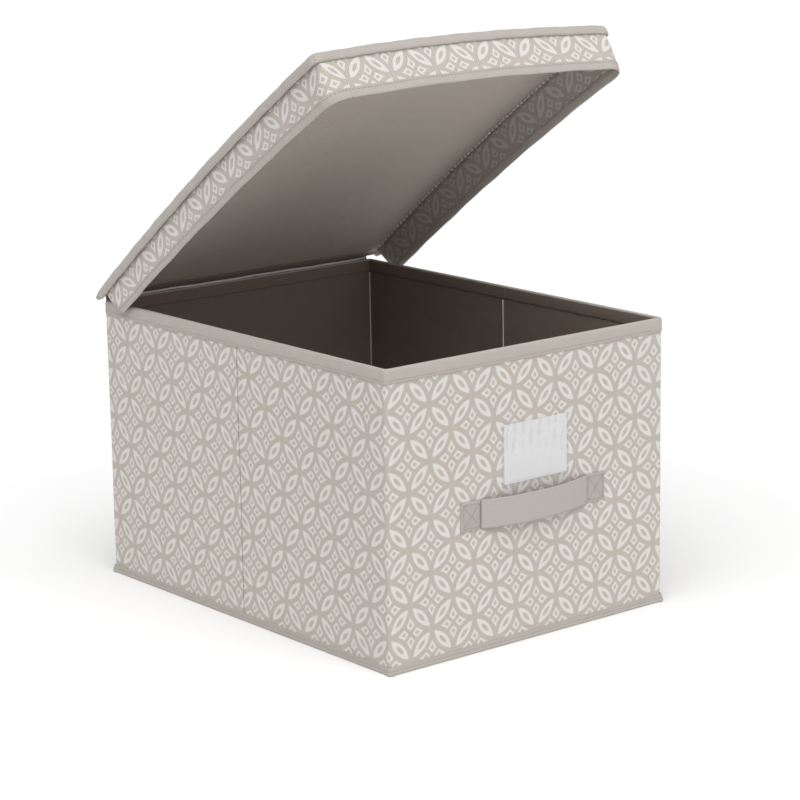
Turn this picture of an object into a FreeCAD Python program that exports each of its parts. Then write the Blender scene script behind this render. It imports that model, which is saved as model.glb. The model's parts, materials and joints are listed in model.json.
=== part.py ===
"""Collapsible fabric storage bin with a hinged lid.

Millimetres. +Z is up, the front wall faces -Y, and the origin is the centre of the underside of the
base, on the floor. The lid is modelled open by LID_OPEN, as it rests.

Each wall is a stiff board sewn between a printed outer fabric and a plain lining. The two side walls
have an upright crease halfway along, so that they fold inwards and the back wall comes forward. The
front wall and the base stay still, the lid hangs on the back wall, and the base board lies loose.
"""
import FreeCAD, Part
import math
import os

# Bin body, over the printed fabric
WIDTH = 306.0
DEPTH = 402.0
HEIGHT = 254.0

# Layers of a wall, from the outside in
FABRIC = 0.5
BOARD = 1.6
LINING = 0.5
WALL = FABRIC + BOARD + LINING

# Binding folded over the rim
RIM_TALL = 12.0
RIM_SKIN = 0.4

# Upright fold lines. The corner ones lie CORNER behind the wall face, HINGE_INSET inside the side
# face, and the crease ones CREASE_PROUD outside it.
CORNER = 7.0
HINGE_INSET = 0.8
CREASE_PROUD = 0.7
CREASE_GAP = 0.8
CORNER_GAP = 0.4

# Foot of the walls, and the tape that covers the bottom seam
WALL_FOOT = 8.6
TAPE_TALL = 8.0
TAPE_THICK = 0.8
TAPE_CLEAR = 0.2
BASE_FABRIC = 0.6

# Loose board in the bottom, in its fabric cover
BASE_BOARD_WIDE = 295.0
BASE_BOARD_LONG = 390.0
BASE_BOARD_LOW = 1.0
BASE_BOARD_THICK = 3.0
COVER = 0.5

# Label pocket on the front wall: centre across, centre height, size, vinyl and seam
LABEL_X = 5.5
LABEL_Z = 162.5
LABEL_WIDE = 74.0
LABEL_TALL = 53.0
POCKET_THICK = 1.0
VINYL = 0.3
SEAM = 2.0
CARD_THICK = 0.4
CARD_CLEAR = 0.3

# Webbing handle on the front wall: a strap that bows out between two sewn ends
HANDLE_X = 3.0
HANDLE_LONG = 161.0
HANDLE_LOW = 106.0
HANDLE_TALL = 25.0
HANDLE_END = 22.0
WEBBING = 2.0
HANDLE_BOW = 6.6
STRAP_CLEAR = 0.3
STITCH_WIDE = 0.6
STITCH_THICK = 0.3
STITCH_INSET = 2.5

# Lid, in its own measures: u from the hinge line forwards, n up from it when the lid is closed.
# Its panel bows upwards by LID_BOW halfway along.
LID_OPEN = 36.0
LID_BOW = 6.0
HINGE_BEHIND = 1.0
HINGE_ABOVE = 0.8
LID_LONG = 408.0
LID_HALF = 162.0
LID_START = 3.0
EDGE_WIDE = 5.0
FRONT_EDGE_WIDE = 4.0
EDGE_LOW = -0.4
EDGE_HIGH = 7.0
REAR_EDGE_LOW = 0.2
REAR_EDGE_HIGH = 4.5
LID_UNDER = 1.0

# Skirts of the lid, deeper at the front than at the rear, and their hems
SKIRT_X = 155.6
SKIRT_U = 404.0
SKIRT_THICK = 0.8
SKIRT_TOP = 0.9
SKIRT_DEEP_REAR = 31.0
SKIRT_DEEP_FRONT = 40.0
SKIRT_START = 12.0
SKIRT_SLANT = 0.35
HEM_TALL = 9.0
HEM_PROUD = 0.3

# Strip that joins the lid to the back wall
STRIP_HALF = 150.0
STRIP_FOOT = 242.0
STRIP_THICK = 0.5

# Sizes that follow
WALL_TOP = HEIGHT - RIM_SKIN
HALF_WIDTH = WIDTH / 2
HALF_DEPTH = DEPTH / 2
HINGE_Y = HALF_DEPTH + HINGE_BEHIND
HINGE_Z = HEIGHT + HINGE_ABOVE

# A wall is the axis that it faces along, its outer face on that axis, and the way inwards
FRONT = ("y", -HALF_DEPTH, 1)
BACK = ("y", HALF_DEPTH, -1)
LEFT = ("x", -HALF_WIDTH, 1)
RIGHT = ("x", HALF_WIDTH, -1)


def write(node, shape):
    """Write one sub-part, in one node."""
    shape.exportStep(os.path.join("parts", node + ".step"))
    print("%-24s %9.1f mm3  valid %s" % (node, shape.Volume, shape.isValid()))


def box(x0, x1, y0, y1, z0, z1):
    return Part.makeBox(x1 - x0, y1 - y0, z1 - z0, FreeCAD.Vector(x0, y0, z0))


def slab(wall, depth0, depth1, along0, along1, z0, z1):
    """Box between two depths inside a wall's outer face, and two places along the wall."""
    axis, face, inwards = wall
    near, far = sorted((face + inwards * depth0, face + inwards * depth1))
    if axis == "x":
        return box(near, far, along0, along1, z0, z1)
    return box(along0, along1, near, far, z0, z1)


def channel(wall, along0, along1):
    """Rim binding: a strip folded over the top of a wall."""
    outside = slab(wall, -RIM_SKIN, WALL + RIM_SKIN, along0, along1, HEIGHT - RIM_TALL, HEIGHT)
    wall_edge = slab(wall, 0, WALL, along0 - 1, along1 + 1, HEIGHT - RIM_TALL - 1, WALL_TOP)
    return outside.cut(wall_edge)


def side_half(name, wall, along0, along1):
    """One half of a side wall, between a corner and the crease."""
    depth = 0
    for layer, thick in (("fabric", FABRIC), ("board", BOARD), ("lining", LINING)):
        solid = slab(wall, depth, depth + thick, along0, along1, WALL_FOOT, WALL_TOP)
        write(name + "_" + layer, solid)
        depth += thick
    write(name + "_rim_binding", channel(wall, along0, along1))


def end_wall(name, wall):
    """The front or back wall, whose fabric and binding turn the corners up to the fold lines."""
    axis, face, inwards = wall
    turn = face + inwards * (CORNER - CORNER_GAP)
    corner0, corner1 = sorted((face, turn))
    rim0, rim1 = sorted((face - inwards * RIM_SKIN, turn))
    inner = HALF_WIDTH - FABRIC
    board_half = HALF_WIDTH - WALL
    fabric = slab(wall, 0, FABRIC, -HALF_WIDTH, HALF_WIDTH, WALL_FOOT, WALL_TOP)
    rim = channel(wall, -inner, inner)
    for side in (LEFT, RIGHT):
        fabric = fabric.fuse(slab(side, 0, FABRIC, corner0, corner1, WALL_FOOT, WALL_TOP))
        outer_leg = slab(side, -RIM_SKIN, 0, rim0, rim1, HEIGHT - RIM_TALL, HEIGHT)
        cap = slab(side, 0, FABRIC, rim0, rim1, WALL_TOP, HEIGHT)
        front_leg = slab(wall, -RIM_SKIN, 0, *corner_span(side), HEIGHT - RIM_TALL, HEIGHT)
        rim = rim.fuse([outer_leg, cap, front_leg])
    write(name + "_fabric", fabric.removeSplitter())
    for layer, near, far in (("board", FABRIC, FABRIC + BOARD), ("lining", FABRIC + BOARD, WALL)):
        write(name + "_" + layer, slab(wall, near, far, -board_half, board_half, WALL_FOOT, WALL_TOP))
    write(name + "_rim_binding", rim.removeSplitter())


def corner_span(side):
    """X range of the fabric's thickness at a corner."""
    face, inwards = side[1:]
    return sorted((face, face + inwards * FABRIC))


def base():
    """Bottom fabric and the four strips of tape round its seam."""
    reach_x = HALF_WIDTH - TAPE_CLEAR
    reach_y = HALF_DEPTH - TAPE_CLEAR
    write("base_fabric", box(-reach_x, reach_x, -reach_y, reach_y, 0, BASE_FABRIC))
    near = -TAPE_CLEAR
    far = -TAPE_CLEAR - TAPE_THICK
    corner_x = HALF_WIDTH + TAPE_CLEAR + TAPE_THICK
    corner_y = HALF_DEPTH + TAPE_CLEAR / 2
    for name, wall in (("front", FRONT), ("back", BACK)):
        write("base_tape_" + name, slab(wall, near, far, -corner_x, corner_x, 0, TAPE_TALL))
    for name, wall in (("left", LEFT), ("right", RIGHT)):
        write("base_tape_" + name, slab(wall, near, far, -corner_y, corner_y, 0, TAPE_TALL))


def base_board():
    """Loose stiff board, with fabric over its top and edges."""
    half_x = BASE_BOARD_WIDE / 2
    half_y = BASE_BOARD_LONG / 2
    top = BASE_BOARD_LOW + BASE_BOARD_THICK
    core = box(-half_x + COVER, half_x - COVER, -half_y + COVER, half_y - COVER, BASE_BOARD_LOW, top)
    write("base_board_core", core)
    whole = box(-half_x, half_x, -half_y, half_y, BASE_BOARD_LOW, top + COVER)
    write("base_board_cover", whole.cut(core))


def label():
    """Clear pocket, sewn on three sides and open at the top, and the card in it."""
    x0 = LABEL_X - LABEL_WIDE / 2
    x1 = LABEL_X + LABEL_WIDE / 2
    z0 = LABEL_Z - LABEL_TALL / 2
    z1 = LABEL_Z + LABEL_TALL / 2
    sleeve = slab(FRONT, -POCKET_THICK, 0, x0, x1, z0, z1)
    hollow = slab(FRONT, VINYL - POCKET_THICK, 0, x0 + SEAM, x1 - SEAM, z0 + SEAM, z1 + 1)
    write("label_pocket", sleeve.cut(hollow))
    inset = SEAM + CARD_CLEAR
    outer = -(CARD_THICK + CARD_CLEAR / 2)
    card = slab(FRONT, outer, -CARD_CLEAR / 2, x0 + inset, x1 - inset, z0 + inset, z1 - CARD_CLEAR)
    write("label_card", card)


def bar(length, angle, x, z):
    """One line of stitches on a handle end, turned by angle in the plane of the wall."""
    y = -HALF_DEPTH - WEBBING
    line = box(-length / 2, length / 2, y - STITCH_THICK, y, -STITCH_WIDE / 2, STITCH_WIDE / 2)
    line.rotate(FreeCAD.Vector(0, 0, 0), FreeCAD.Vector(0, 1, 0), angle)
    line.translate(FreeCAD.Vector(x, 0, z))
    return line


def crossed_box(x, z):
    """A box of stitches with both diagonals, centred at x and z."""
    wide = HANDLE_END - 2 * STITCH_INSET
    tall = HANDLE_TALL - 2 * STITCH_INSET
    slope = math.degrees(math.atan2(tall, wide))
    diagonal = math.hypot(wide, tall)
    lines = [bar(diagonal, slope, x, z), bar(diagonal, -slope, x, z)]
    for side in (-1, 1):
        lines.append(bar(wide + STITCH_WIDE, 0, x, z + side * tall / 2))
        lines.append(bar(tall + STITCH_WIDE, 90, x + side * wide / 2, z))
    return lines[0].fuse(lines[1:]).removeSplitter()


def handle():
    """Webbing strap across the front wall, and its two sewn ends."""
    x0 = HANDLE_X - HANDLE_LONG / 2
    x1 = HANDLE_X + HANDLE_LONG / 2
    top = HANDLE_LOW + HANDLE_TALL
    stitches = []
    for name, start in (("left", x0), ("right", x1 - HANDLE_END)):
        end = slab(FRONT, -WEBBING, 0, start, start + HANDLE_END, HANDLE_LOW, top)
        write("handle_end_" + name, end)
        stitches.append(crossed_box(start + HANDLE_END / 2, (HANDLE_LOW + top) / 2))
    write("handle_stitching", Part.makeCompound(stitches))
    strap0 = x0 + HANDLE_END + STRAP_CLEAR
    strap1 = x1 - HANDLE_END - STRAP_CLEAR
    near = -HALF_DEPTH - STRAP_CLEAR

    def arc(thick):
        points = [(strap0, near - thick), (HANDLE_X, near - HANDLE_BOW - thick), (strap1, near - thick)]
        return [FreeCAD.Vector(x, y, HANDLE_LOW) for x, y in points]

    inner = arc(0)
    outer = arc(WEBBING)
    edges = [Part.Arc(*inner).toShape(), Part.LineSegment(inner[2], outer[2]).toShape()]
    edges += [Part.Arc(*outer).toShape(), Part.LineSegment(outer[0], inner[0]).toShape()]
    outline = Part.Face(Part.Wire(Part.__sortEdges__(edges)))
    write("handle_strap", outline.extrude(FreeCAD.Vector(0, 0, HANDLE_TALL)))


def opened(shape):
    """Turn a piece of the closed lid up about the hinge line to where the lid rests."""
    shape.rotate(FreeCAD.Vector(0, HINGE_Y, HINGE_Z), FreeCAD.Vector(-1, 0, 0), LID_OPEN)
    return shape


def lid_box(x0, x1, u0, u1, n0, n1):
    return opened(box(x0, x1, HINGE_Y - u1, HINGE_Y - u0, HINGE_Z + n0, HINGE_Z + n1))


def lid_point(x, u, n):
    """A point of the closed lid, raised by the panel's bow."""
    share = u / LID_LONG
    bow = 4 * LID_BOW * share * (1 - share)
    return FreeCAD.Vector(x, HINGE_Y - u, HINGE_Z + n + bow)


def lid_band(x0, x1, low, high):
    """Bowed plate from x0 to x1. low and high are its lower and upper edge: (u, n) at the rear, then
    (u, n) at the front."""
    edges = []
    corners = []
    for rear, front in (low, high):
        middle = ((rear[0] + front[0]) / 2, (rear[1] + front[1]) / 2)
        points = [lid_point(x0, *rear), lid_point(x0, *middle), lid_point(x0, *front)]
        edges.append(Part.Arc(*points).toShape())
        corners.append((points[0], points[2]))
    for below, above in zip(*corners):
        edges.append(Part.LineSegment(below, above).toShape())
    outline = Part.Face(Part.Wire(Part.__sortEdges__(edges)))
    return opened(outline.extrude(FreeCAD.Vector(x1 - x0, 0, 0)))


def lid_panel():
    """Lining, board and top fabric of the lid, and the binding round its edge."""
    half = LID_HALF - EDGE_WIDE
    start = LID_START + EDGE_WIDE
    end = LID_LONG - FRONT_EDGE_WIDE

    def panel(x0, x1, n0, n1):
        return lid_band(x0, x1, ((start, n0), (end, n0)), ((start, n1), (end, n1)))

    low = LID_UNDER
    for name, thick in (("lining", LINING), ("board", BOARD), ("fabric", FABRIC)):
        write("lid_" + name, panel(-half, half, low, low + thick))
        low += thick
    write("lid_edge_left", panel(-LID_HALF, -half, EDGE_LOW, EDGE_HIGH))
    write("lid_edge_right", panel(half, LID_HALF, EDGE_LOW, EDGE_HIGH))
    write("lid_edge_front", lid_box(-LID_HALF, LID_HALF, end, LID_LONG, EDGE_LOW, EDGE_HIGH))
    write("lid_edge_rear", lid_box(-half, half, LID_START, start, REAR_EDGE_LOW, REAR_EDGE_HIGH))


def side_skirt(x0, x1, rise0, rise1):
    """Stretch of a side skirt between two heights above its foot, or up to its top where rise1 is
    None. Its free rear edge slants forwards as it goes down."""
    foot_rear = SKIRT_TOP - SKIRT_DEEP_REAR
    foot_front = SKIRT_TOP - SKIRT_DEEP_FRONT

    def edge(n_rear, n_front):
        return (SKIRT_START + SKIRT_SLANT * (SKIRT_TOP - n_rear), n_rear), (SKIRT_U, n_front)

    low = edge(foot_rear + rise0, foot_front + rise0)
    high = edge(SKIRT_TOP, SKIRT_TOP) if rise1 is None else edge(foot_rear + rise1, foot_front + rise1)
    return lid_band(x0, x1, low, high)


def lid_skirts():
    """Fabric skirts that hang outside the rim, each with a bound hem."""
    for name, side in (("left", -1), ("right", 1)):
        x0, x1 = sorted((side * SKIRT_X, side * (SKIRT_X + SKIRT_THICK)))
        write("lid_skirt_" + name, side_skirt(x0, x1, HEM_TALL, None))
        write("lid_hem_" + name, side_skirt(x0 - HEM_PROUD, x1 + HEM_PROUD, 0, HEM_TALL))
    foot = SKIRT_TOP - SKIRT_DEEP_FRONT
    hem = foot + HEM_TALL
    u1 = SKIRT_U + SKIRT_THICK
    half = SKIRT_X + SKIRT_THICK
    write("lid_skirt_front", lid_box(-half, half, SKIRT_U, u1, hem, EDGE_LOW))
    hem_half = half + HEM_PROUD
    write("lid_hem_front", lid_box(-hem_half, hem_half, SKIRT_U, u1 + HEM_PROUD, foot, hem))


def lid_strip():
    """Fabric strip up the back of the rim binding to the hinge line: the hinge itself."""
    y = HALF_DEPTH + RIM_SKIN + CORNER_GAP / 2
    write("lid_hinge_strip", box(-STRIP_HALF, STRIP_HALF, y, y + STRIP_THICK, STRIP_FOOT, HINGE_Z))


os.makedirs("parts", exist_ok=True)
end_wall("front", FRONT)
end_wall("back", BACK)
corner = HALF_DEPTH - CORNER
crease = CREASE_GAP / 2
for side_name, side_wall in (("left", LEFT), ("right", RIGHT)):
    side_half(side_name + "_front", side_wall, -corner, -crease)
    side_half(side_name + "_rear", side_wall, crease, corner)
base()
base_board()
label()
handle()
lid_panel()
lid_skirts()
lid_strip()
fold_x = HALF_WIDTH - HINGE_INSET
crease_x = HALF_WIDTH + CREASE_PROUD
print("corner fold lines: x +-%.1f, y +-%.1f; crease lines: x +-%.1f" % (fold_x, corner, crease_x))
print("lid hinge line: y %.1f, z %.1f" % (HINGE_Y, HINGE_Z))
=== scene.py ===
"""Collapsible fabric storage bin with a hinged lid: its looks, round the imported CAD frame.

Metres. u runs along the outside of the walls, anticlockwise from above, from the near left corner:
the front is 0 to the width, and the left side has negative u. It is also the print's coordinate, so
the print runs on round the corners and through every fold.
"""
import json
import math

import bpy
import numpy as np
from mathutils import Matrix, Vector


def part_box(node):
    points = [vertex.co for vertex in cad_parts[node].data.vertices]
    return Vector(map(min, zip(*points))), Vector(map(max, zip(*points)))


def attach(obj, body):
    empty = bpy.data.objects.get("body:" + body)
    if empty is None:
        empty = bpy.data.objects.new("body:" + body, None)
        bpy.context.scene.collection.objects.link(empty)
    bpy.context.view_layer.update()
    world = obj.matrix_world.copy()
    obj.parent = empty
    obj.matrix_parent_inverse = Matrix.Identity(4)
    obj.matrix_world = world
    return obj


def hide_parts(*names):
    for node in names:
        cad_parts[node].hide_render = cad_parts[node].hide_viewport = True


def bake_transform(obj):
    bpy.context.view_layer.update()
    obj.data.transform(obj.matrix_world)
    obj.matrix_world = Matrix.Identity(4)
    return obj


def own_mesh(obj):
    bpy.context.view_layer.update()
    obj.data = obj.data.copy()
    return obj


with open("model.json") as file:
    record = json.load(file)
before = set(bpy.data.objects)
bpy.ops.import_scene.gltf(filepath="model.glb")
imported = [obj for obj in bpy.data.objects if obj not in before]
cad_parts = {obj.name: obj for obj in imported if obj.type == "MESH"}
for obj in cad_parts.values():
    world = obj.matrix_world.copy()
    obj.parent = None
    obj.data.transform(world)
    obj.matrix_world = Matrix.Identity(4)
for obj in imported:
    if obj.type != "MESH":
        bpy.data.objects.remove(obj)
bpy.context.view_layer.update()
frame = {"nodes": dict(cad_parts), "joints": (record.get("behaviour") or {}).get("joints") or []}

MM = 0.001

# -------------------- measures from the frame
front_low, front_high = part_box("front_fabric")
HALF_X = front_high.x
HALF_Y = -front_low.y
WIDE = 2 * HALF_X
LONG = 2 * HALF_Y
ROUND = 2 * (WIDE + LONG)
CREASES_U = (-HALF_Y, WIDE + HALF_Y)
WALL_FOOT = 6.5 * MM
WALL_TOP = front_high.z
RIM_LOW, RIM_TOP = (corner.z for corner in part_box("front_rim_binding"))
WALL = 2.6 * MM
FABRIC = 0.5 * MM
LINING_CLOTH = 0.4 * MM
CORNER_R = 4 * MM
# the corner folds stand at FOLD_Y, and every fold bends over FOLD_HALF to each side
FOLD_Y = HALF_Y - 7 * MM
FOLD_HALF = 1.5 * MM

joints = {joint["name"]: joint for joint in frame["joints"]}
HINGE = Vector(joints["lid_hinge"]["pos_m"])
LID_OPEN = math.radians(-joints["lid_hinge"]["range_deg"][0])
LID_LONG = 408 * MM
LID_BOW = 6 * MM
LID_ARCH = 6 * MM
LID_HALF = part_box("lid_edge_front")[1].x
pocket_low, pocket_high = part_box("label_pocket")
CARD_TRAVEL = joints["card_slide"]["range_m"][1] + 1 * MM

# -------------------- the print, in millimetres
PRINT_REPEATS = 31
PRINT_WIDE = ROUND / MM / PRINT_REPEATS
PRINT_TALL = 46.9
PRINT_NODE_U = -1.5
PRINT_NODE_V = 219.4


# -------------------- shader building
class Field:
    """A number that varies over a surface: a socket, with arithmetic."""

    def __init__(self, nodes, socket):
        self.nodes, self.socket = nodes, socket

    def math(self, operation, *others, clamp=False):
        node = self.nodes.new("ShaderNodeMath")
        node.operation = operation
        node.use_clamp = clamp
        for place, value in enumerate((self, *others)):
            if isinstance(value, Field):
                self.nodes.id_data.links.new(value.socket, node.inputs[place])
            else:
                node.inputs[place].default_value = value
        return Field(self.nodes, node.outputs[0])

    def __add__(self, other):
        return self.math("ADD", other)

    def __sub__(self, other):
        return self.math("SUBTRACT", other)

    def __mul__(self, other):
        return self.math("MULTIPLY", other)

    def __rsub__(self, other):
        return (self * -1) + other

    __radd__ = __add__
    __rmul__ = __mul__

    def above(self, level, soft):
        """0 below the level and 1 above it, with an edge soft wide."""
        return ((self - level) * (1 / soft) + 0.5).math("ADD", 0, clamp=True)


class Surface:
    """A material with one Principled shader, and the fields that drive it."""

    def __init__(self, name, roughness=0.9, sheen=0.0, specular=0.25):
        self.material = bpy.data.materials.new(name)
        self.material.use_nodes = True
        self.nodes = self.material.node_tree.nodes
        self.links = self.material.node_tree.links
        self.shader = self.nodes["Principled BSDF"]
        self.set("Roughness", roughness)
        self.set("Specular IOR Level", specular)
        if sheen:
            self.set("Sheen Weight", sheen)
            self.set("Sheen Roughness", 0.6)
        cloth_map = self.nodes.new("ShaderNodeUVMap")
        cloth_map.uv_map = "cloth"
        self.scale = self.nodes.new("ShaderNodeVectorMath")
        self.scale.operation = "SCALE"
        self.scale.inputs["Scale"].default_value = 1 / MM
        self.links.new(cloth_map.outputs[0], self.scale.inputs[0])
        self.place = self.scale.outputs[0]
        split = self.nodes.new("ShaderNodeSeparateXYZ")
        self.links.new(self.place, split.inputs[0])
        self.u = Field(self.nodes, split.outputs[0])
        self.v = Field(self.nodes, split.outputs[1])

    def set(self, socket, value):
        self.shader.inputs[socket].default_value = value

    def noise(self, size, detail=2.0, rough=0.5):
        """Noise between 0 and 1, with grains about size millimetres across."""
        node = self.nodes.new("ShaderNodeTexNoise")
        node.inputs["Scale"].default_value = 1 / size
        node.inputs["Detail"].default_value = detail
        node.inputs["Roughness"].default_value = rough
        self.links.new(self.place, node.inputs["Vector"])
        return Field(self.nodes, node.outputs["Fac"])

    def crosshatch(self, pitch):
        """Small embossed points in slanting rows, from -1 to 1."""
        step = 2 * math.pi / pitch
        return (self.u * step).math("SINE") * (self.v * step).math("SINE")

    def colour(self, *layers):
        """Base colour from (field, colour) pairs: each field lays its colour over the last. The
        first pair has two colours, which its field mixes."""
        node = None
        for field, value in layers:
            mix = self.nodes.new("ShaderNodeMix")
            mix.data_type = "RGBA"
            if node is None:
                mix.inputs["A"].default_value = (*value[0], 1)
                value = value[1]
            else:
                self.links.new(node.outputs["Result"], mix.inputs["A"])
            mix.inputs["B"].default_value = (*value, 1)
            self.links.new(field.socket, mix.inputs["Factor"])
            node = mix
        self.links.new(node.outputs["Result"], self.shader.inputs["Base Color"])

    def bump(self, field, height):
        """Bump of a field between 0 and 1, height metres tall."""
        node = self.nodes.new("ShaderNodeBump")
        node.inputs["Strength"].default_value = 1.0
        node.inputs["Distance"].default_value = height
        self.links.new(field.socket, node.inputs["Height"])
        self.links.new(node.outputs[0], self.shader.inputs["Normal"])

    def rough(self, field, low, high):
        self.links.new((field * (high - low) + low).socket, self.shader.inputs["Roughness"])


def shade(colour, factor):
    return tuple(channel * factor for channel in colour)


TAUPE = (0.470, 0.428, 0.378)
INK = (0.685, 0.675, 0.650)
PLAIN = (0.438, 0.405, 0.366)
LINING = (0.475, 0.418, 0.365)
# the lining darkened with painted shade, for the inside of the box
LINING_PAINTED_SHADE = (0.205, 0.162, 0.130)
WEBBING = (0.435, 0.410, 0.374)
THREAD = (0.30, 0.262, 0.228)
PALE_THREAD = (0.93, 0.90, 0.86)


def circle_print(surface):
    """The print as a field: 1 on the ink, 0 on the cloth. Circles on a square lattice that stands on
    its corner overlap in petals; each petal holds an outlined leaf, and each cell between the petals
    holds four outlined kites."""
    spacing = (PRINT_WIDE + PRINT_TALL) / 2 / math.sqrt(2)
    radius = spacing / math.sqrt(2)
    soft = 0.45
    across = (surface.u - PRINT_NODE_U) * (1 / PRINT_WIDE)
    up = (surface.v - PRINT_NODE_V) * (1 / PRINT_TALL)
    fold_p = ((across + up).math("FRACT") - 0.5).math("ABSOLUTE") * spacing
    fold_q = ((across - up).math("FRACT") - 0.5).math("ABSOLUTE") * spacing
    short = fold_p.math("MINIMUM", fold_q)
    gap = spacing - fold_p.math("MAXIMUM", fold_q)
    depth = radius - (short * short + gap * gap).math("SQRT")
    slim = short * 1.4
    slim_depth = radius - (slim * slim + gap * gap).math("SQRT")
    petal_rim, leaf_rim = 2.4, 5.0
    leaf = depth.above(petal_rim, soft) * (1 - slim_depth.above(leaf_rim, soft))
    outside = depth * -1
    band, stroke, clear = 1.6, 1.75, 1.8
    kite = short.above(band, soft) * outside.above(clear, soft)
    kite_heart = short.above(band + stroke, soft) * outside.above(clear + stroke, soft)
    return leaf + kite * (1 - kite_heart)


def crease_shade_mask(surface):
    """Mask of painted shade: 1 along the creases of the side walls, 0 elsewhere."""
    left, right = ((surface.u - u / MM).math("ABSOLUTE") for u in CREASES_U)
    return 1 - left.math("MINIMUM", right).above(0.55, 0.5)


def printed_cloth(name, contrast=1.0, dim=1.0, shade_creases=False):
    """Spun-bonded cloth, embossed with a fine crosshatch, and printed; optionally with painted shade
    down the creases.
    """
    surface = Surface(name, sheen=0.08)
    hatch = surface.crosshatch(2.5)
    mottle = surface.noise(9.0, 3.0)
    fibre = surface.noise(0.9, 2.0, 0.7)
    ground = (mottle * 0.6 + fibre * 0.4 - 0.5) * 0.9 + hatch * 0.6 + 0.5
    ink = circle_print(surface)
    ink_cover = ink * (fibre * 0.4 + hatch * 0.3 + 0.7).math("MINIMUM", 1.0) * contrast
    layers = [
        (ground, (shade(TAUPE, 0.87 * dim), shade(TAUPE, 1.13 * dim))),
        (ink_cover, shade(INK, dim)),
    ]
    # painted shade darkening the cloth along the side walls' creases
    if shade_creases:
        layers.append((crease_shade_mask(surface) * 0.6, shade(TAUPE, 0.35)))
    surface.colour(*layers)
    surface.bump(hatch * 0.4 + fibre * 0.25 + ink * 0.06 + 0.4, 0.2 * MM)
    surface.rough(fibre, 0.82, 0.98)
    return surface.material


def plain_cloth(name, colour, pitch=2.7, spread=0.16):
    """Plain spun-bonded cloth with the same emboss."""
    surface = Surface(name, sheen=0.08)
    hatch = surface.crosshatch(pitch)
    mottle = surface.noise(11.0, 3.0)
    fibre = surface.noise(0.8, 2.0, 0.7)
    ground = (mottle * 0.55 + fibre * 0.45 - 0.5) * 0.9 + hatch * 0.42 + 0.5
    surface.colour((ground, (shade(colour, 1 - spread), shade(colour, 1 + spread))))
    surface.bump(hatch * 0.4 + fibre * 0.3 + 0.4, 0.2 * MM)
    surface.rough(fibre, 0.8, 0.97)
    return surface.material


def woven_webbing(name, colour):
    """Webbing with fine slanting ribs that turn back every few millimetres."""
    surface = Surface(name, sheen=0.12)
    zigzag = surface.u.math("PINGPONG", 9.0)
    ribs = ((zigzag + surface.v) * (2 * math.pi / 2.6)).math("SINE")
    picks = (surface.u * (2 * math.pi / 1.3)).math("SINE")
    fibre = surface.noise(0.7, 2.0, 0.7)
    ground = ribs * 0.5 + picks * 0.12 + (fibre - 0.5) * 0.6 + 0.5
    surface.colour((ground, (shade(colour, 0.82), shade(colour, 1.12))))
    surface.bump(ribs * 0.35 + picks * 0.12 + fibre * 0.2 + 0.4, 0.22 * MM)
    surface.rough(fibre, 0.75, 0.95)
    return surface.material


def spun_thread(name, colour):
    """Thread with a slanting twist."""
    surface = Surface(name, roughness=0.7, sheen=0.1)
    twist = ((surface.u + surface.v * 1.6) * (2 * math.pi / 0.5)).math("SINE")
    fibre = surface.noise(0.4)
    surface.colour((twist * 0.3 + fibre * 0.6, (shade(colour, 0.8), shade(colour, 1.15))))
    surface.bump(twist * 0.4 + 0.5, 0.05 * MM)
    return surface.material


def object_place(surface):
    """Makes noise follow the place in the piece, as the CAD nodes and the floor have no UVs."""
    place = surface.nodes.new("ShaderNodeTexCoord")
    surface.links.new(place.outputs["Object"], surface.scale.inputs[0])


def board_paper(name, colour, clean=False):
    """Greyboard with flecks, or clean card."""
    surface = Surface(name, roughness=0.85)
    object_place(surface)
    grain = surface.noise(1.5 if clean else 0.8, 4.0, 0.65)
    spread = 0.02 if clean else 0.15
    surface.colour((grain, (shade(colour, 1 - spread), shade(colour, 1 + spread))))
    surface.bump(grain, (0.004 if clean else 0.08) * MM)
    surface.rough(grain, 0.6 if clean else 0.8, 0.75 if clean else 0.95)
    return surface.material


def clear_film(name):
    """Thin clear vinyl: mostly see-through, a little milky, and greyed with painted shade down its
    folds.
    """
    surface = Surface(name, specular=0.6)
    haze = surface.noise(14.0, 2.0)
    middle = (pocket_low.z + pocket_high.z) / 2 / MM
    lean = (surface.v - middle) * 0.12
    pitch = 9.0
    folds = ((surface.u - lean) * (2 * math.pi / pitch) + haze * 5.0).math("SINE")
    folds = folds.above(0.5, 1.2) * surface.v.above(middle + 3, 12.0) * haze.above(0.5, 0.2)
    milk = (haze, ((0.70, 0.70, 0.71), (0.77, 0.77, 0.78)))
    # painted shade: the folds' mask greys the milky colour and makes it a little less clear
    surface.colour(milk, (folds * 0.3, (0.52, 0.52, 0.54)))
    surface.links.new((folds * 0.1 + 0.14).socket, surface.shader.inputs["Alpha"])
    surface.set("IOR", 1.5)
    surface.rough(haze, 0.28, 0.4)
    return surface.material


def studio_paper(name):
    """Pale paper of the floor."""
    surface = Surface(name, roughness=0.95)
    object_place(surface)
    grain = surface.noise(60.0, 2.0)
    surface.colour((grain, ((0.92, 0.92, 0.92), (0.94, 0.94, 0.94))))
    return surface.material


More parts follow.
